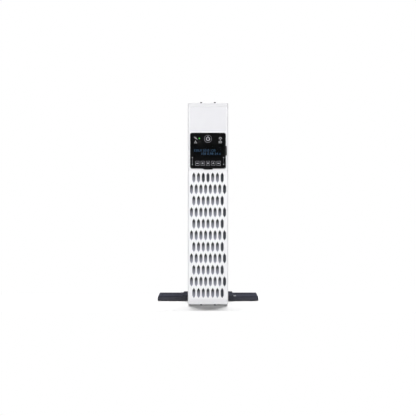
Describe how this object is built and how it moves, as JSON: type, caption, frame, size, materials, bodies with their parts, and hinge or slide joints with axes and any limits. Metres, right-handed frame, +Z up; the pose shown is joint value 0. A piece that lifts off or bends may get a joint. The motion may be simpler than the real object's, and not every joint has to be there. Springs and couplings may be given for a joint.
{
  "type": "uninterruptible power supply",
  "caption": "Slim white tower power supply with a slotted front, a square turning display with keys, and a dark two-footed stand.",
  "frame": {"origin": "on the floor, under the middle of the whole object's box", "axes": "+X to the right seen from the front, +Y from the front to the back, +Z up"},
  "size_m": [0.229, 0.4202, 0.4394],
  "materials": {
    "white_bezel": "moulded white plastic, fine satin texture",
    "mesh_grey": "fine mesh sheet, blue-grey",
    "dark_plastic": "moulded dark plastic, bluish black",
    "gloss_black": "polished black plastic",
    "clear_window": "tinted clear sheet",
    "screen_glass": "dark display panel",
    "green_light": "lit green light pipe",
    "smoke_light": "unlit smoked light pipe",
    "circuit_green": "circuit laminate",
    "black_steel": "powder-coated sheet steel",
    "zinc_sheet": "zinc-plated sheet steel",
    "bright_screw": "zinc-plated screw",
    "battery_case": "battery case plastic",
    "bare_aluminium": "bare aluminium",
    "core_iron": "varnished steel laminations",
    "winding_copper": "varnished copper",
    "pad_rubber": "soft rubber"
  },
  "bodies": {
    "chassis": {"bezel_head": "white_bezel", "stand_left": "dark_plastic", "stand_right": "dark_plastic", "fan_frame": "dark_plastic", "mains_inlet": "dark_plastic", "outlet_bank_left": "dark_plastic", "outlet_bank_right": "dark_plastic", "breaker_body": "dark_plastic", "relays": "dark_plastic", "main_board": "circuit_green", "control_board": "circuit_green", "chassis_base": "black_steel", "chassis_cover": "black_steel", "rear_panel": "black_steel", "card_cover": "black_steel", "fan_guard": "black_steel", "front_frame": "zinc_sheet", "battery_door": "zinc_sheet", "battery_shelf": "zinc_sheet", "battery_tray": "zinc_sheet", "bay_wall": "zinc_sheet", "stand_link": "zinc_sheet", "serial_port": "zinc_sheet", "usb_port": "zinc_sheet", "network_ports": "zinc_sheet", "cover_screws": "bright_screw", "door_screws": "bright_screw", "fan_screws": "bright_screw", "thumb_screws": "bright_screw", "ground_screw": "bright_screw", "stand_screws": "bright_screw", "battery_1": "battery_case", "battery_2": "battery_case", "battery_3": "battery_case", "heat_sinks": "bare_aluminium", "capacitors": "bare_aluminium", "transformer_core": "core_iron", "transformer_winding": "winding_copper", "battery_links": "winding_copper", "stand_pads": "pad_rubber"},
    "display": {"display_housing": "gloss_black", "display_turret": "dark_plastic", "display_back": "dark_plastic", "display_window": "clear_window", "display_screen": "screen_glass", "display_board": "circuit_green", "power_light": "green_light", "fault_light": "smoke_light"},
    "power_button": {"power_button": "gloss_black"},
    "grille_cover": {"grille_cover": "white_bezel", "dust_screen": "mesh_grey"},
    "latch_top": {"latch_top": "dark_plastic"},
    "latch_bottom": {"latch_bottom": "dark_plastic"},
    "fan_rotor": {"fan_rotor": "dark_plastic"},
    "breaker_button": {"breaker_button": "dark_plastic"},
    "key_1": {"key_1": "gloss_black"},
    "key_2": {"key_2": "gloss_black"},
    "key_3": {"key_3": "gloss_black"},
    "key_4": {"key_4": "gloss_black"},
    "key_5": {"key_5": "gloss_black"}
  },
  "joints": [
    {"name": "display_turn", "type": "hinge", "parent": "chassis", "child": "display", "pos_m": [0, -0.2019, 0.3343], "axis": [0, 1, 0], "range_deg": [0, 90]},
    {"name": "power_press", "type": "slide", "parent": "display", "child": "power_button", "axis": [0, 1, 0], "range_m": [0, 0.0006], "stiffness_N_per_m": 600, "springref_m": -0.0005},
    {"name": "key_1_press", "type": "slide", "parent": "display", "child": "key_1", "axis": [0, 1, 0], "range_m": [0, 0.0006], "stiffness_N_per_m": 500, "springref_m": -0.0005},
    {"name": "key_2_press", "type": "slide", "parent": "display", "child": "key_2", "axis": [0, 1, 0], "range_m": [0, 0.0006], "stiffness_N_per_m": 500, "springref_m": -0.0005},
    {"name": "key_3_press", "type": "slide", "parent": "display", "child": "key_3", "axis": [0, 1, 0], "range_m": [0, 0.0006], "stiffness_N_per_m": 500, "springref_m": -0.0005},
    {"name": "key_4_press", "type": "slide", "parent": "display", "child": "key_4", "axis": [0, 1, 0], "range_m": [0, 0.0006], "stiffness_N_per_m": 500, "springref_m": -0.0005},
    {"name": "key_5_press", "type": "slide", "parent": "display", "child": "key_5", "axis": [0, 1, 0], "range_m": [0, 0.0006], "stiffness_N_per_m": 500, "springref_m": -0.0005},
    {"name": "cover_pull", "type": "slide", "parent": "chassis", "child": "grille_cover", "axis": [0, -1, 0], "range_m": [0, 0.012]},
    {"name": "latch_top_press", "type": "slide", "parent": "chassis", "child": "latch_top", "axis": [0, 0, -1], "range_m": [0, 0.002], "stiffness_N_per_m": 800, "springref_m": -0.0005},
    {"name": "latch_bottom_press", "type": "slide", "parent": "grille_cover", "child": "latch_bottom", "axis": [0, 0, 1], "range_m": [0, 0.002], "stiffness_N_per_m": 800, "springref_m": -0.0005},
    {"name": "fan_spin", "type": "hinge", "parent": "chassis", "child": "fan_rotor", "pos_m": [0, 0.1921, 0.05], "axis": [0, 1, 0], "continuous": true},
    {"name": "breaker_reset", "type": "slide", "parent": "chassis", "child": "breaker_button", "axis": [0, -1, 0], "range_m": [0, 0.003], "stiffness_N_per_m": 500, "springref_m": -0.0005}
  ]
}
